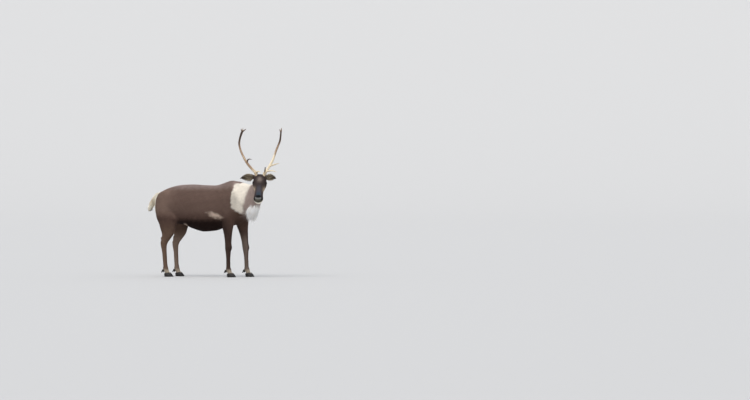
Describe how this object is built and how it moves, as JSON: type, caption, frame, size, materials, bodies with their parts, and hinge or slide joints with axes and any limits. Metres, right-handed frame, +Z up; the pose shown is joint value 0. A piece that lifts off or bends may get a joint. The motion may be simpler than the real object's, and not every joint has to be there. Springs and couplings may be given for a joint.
{
  "type": "bull caribou",
  "caption": "Life-size standing bull caribou with a cream neck and mane, brown body, white tail, head turned to its right and branched antlers.",
  "frame": {"origin": "middle of the bounding box on the plane of the soles", "axes": "+X the way the body faces, +Y the animal's left, +Z up"},
  "size_m": [1.857, 0.709, 1.9034],
  "materials": {
    "antler": "bare bone, faintly ridged",
    "hoof_horn": "dark horn, satin",
    "eye": "wet gloss",
    "pale_coat": "long cream hair",
    "white_coat": "long white hair",
    "brown_coat": "dense brown hair",
    "dark_coat": "short dark hair"
  },
  "bodies": {
    "root": {"antler_left_back_tine": "antler", "antler_left_beam_lower": "antler", "antler_left_beam_upper": "antler", "antler_left_bez_tine": "antler", "antler_left_brow_tine": "antler", "antler_left_crown": "antler", "antler_left_side_tine": "antler", "antler_right_back_tine": "antler", "antler_right_beam_lower": "antler", "antler_right_beam_upper": "antler", "antler_right_bez_tine": "antler", "antler_right_brow_tine": "antler", "antler_right_crown": "antler", "ear_left": "dark_coat", "ear_right": "dark_coat", "eye_left": "eye", "eye_right": "eye", "fore_left_cannon": "dark_coat", "fore_left_dewclaw_inner": "hoof_horn", "fore_left_dewclaw_outer": "hoof_horn", "fore_left_foot": "dark_coat", "fore_left_hoof_inner": "hoof_horn", "fore_left_hoof_outer": "hoof_horn", "fore_left_upper": "dark_coat", "fore_right_cannon": "dark_coat", "fore_right_dewclaw_inner": "hoof_horn", "fore_right_dewclaw_outer": "hoof_horn", "fore_right_foot": "dark_coat", "fore_right_hoof_inner": "hoof_horn", "fore_right_hoof_outer": "hoof_horn", "fore_right_upper": "dark_coat", "head": "dark_coat", "hind_left_cannon": "dark_coat", "hind_left_dewclaw_inner": "hoof_horn", "hind_left_dewclaw_outer": "hoof_horn", "hind_left_foot": "dark_coat", "hind_left_hoof_inner": "hoof_horn", "hind_left_hoof_outer": "hoof_horn", "hind_left_upper": "dark_coat", "hind_right_cannon": "dark_coat", "hind_right_dewclaw_inner": "hoof_horn", "hind_right_dewclaw_outer": "hoof_horn", "hind_right_foot": "dark_coat", "hind_right_hoof_inner": "hoof_horn", "hind_right_hoof_outer": "hoof_horn", "hind_right_upper": "dark_coat", "neck": "pale_coat", "tail": "white_coat", "trunk": "brown_coat"}
  },
  "joints": []
}
